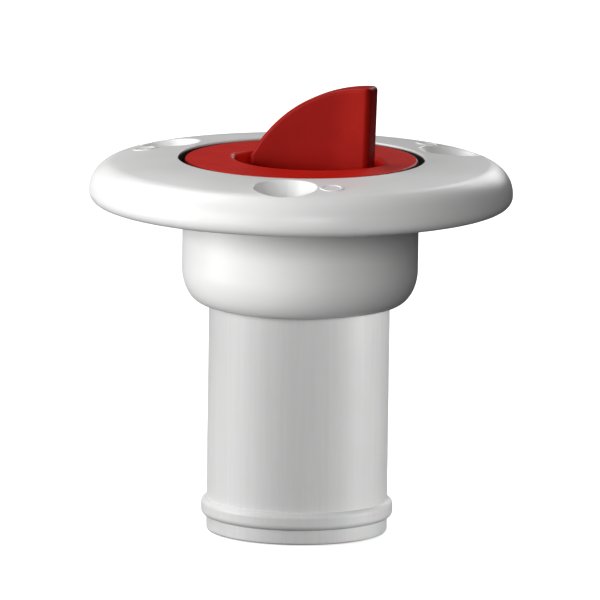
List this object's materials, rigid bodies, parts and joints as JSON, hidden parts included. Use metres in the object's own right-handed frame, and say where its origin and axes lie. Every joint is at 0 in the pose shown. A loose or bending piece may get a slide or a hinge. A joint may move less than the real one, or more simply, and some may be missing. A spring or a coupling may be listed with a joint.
{
  "type": "flush deck air vent",
  "caption": "Round screw-down vent fitting with a domed white flange, a red lift-out cap with a fin grip, a float valve inside and a barbed hose tail below.",
  "frame": {"origin": "centre of the three screw holes, on the surface that the flange is screwed to", "axes": "+Z along the vent's axis, up through the cap; -Y towards the first screw hole"},
  "size_m": [0.089, 0.089, 0.0953],
  "materials": {
    "white_gloss": "glossy moulded",
    "white_satin": "satin moulded",
    "red_plastic": "semi-gloss moulded",
    "grey_nylon": "matt moulded",
    "float_plastic": "satin moulded",
    "black_rubber": "matt",
    "stainless": "bright turned",
    "stainless_gauze": "woven wire"
  },
  "bodies": {
    "fitting": {"flange_body": "white_gloss", "hose_tail": "white_satin", "tail_o_ring": "black_rubber", "bayonet_ring": "grey_nylon"},
    "cartridge": {"seat_plate": "grey_nylon", "cartridge_o_ring": "black_rubber", "gauze_screen": "stainless_gauze", "gauze_ring": "grey_nylon", "valve_seat": "black_rubber", "valve_cage": "grey_nylon", "cage_screws": "stainless"},
    "float": {"float_upper": "float_plastic", "float_lower": "float_plastic", "float_seal": "black_rubber", "seal_rivet": "stainless"},
    "cap": {"cap_disc": "red_plastic", "fin_grip": "red_plastic", "fin_clamp_plate": "stainless", "fin_screws": "stainless", "cap_o_ring": "black_rubber"}
  },
  "joints": [
    {"name": "cartridge_lift", "type": "slide", "parent": "fitting", "child": "cartridge", "axis": [0, 0, 1], "range_m": [0, 0.06]},
    {"name": "cap_turn", "type": "hinge", "parent": "cartridge", "child": "cap", "pos_m": [0, 0, 0], "axis": [0, 0, 1], "range_deg": [-75, 0]},
    {"name": "float_rise", "type": "slide", "parent": "cartridge", "child": "float", "axis": [0, 0, 1], "range_m": [0, 0.006]}
  ]
}
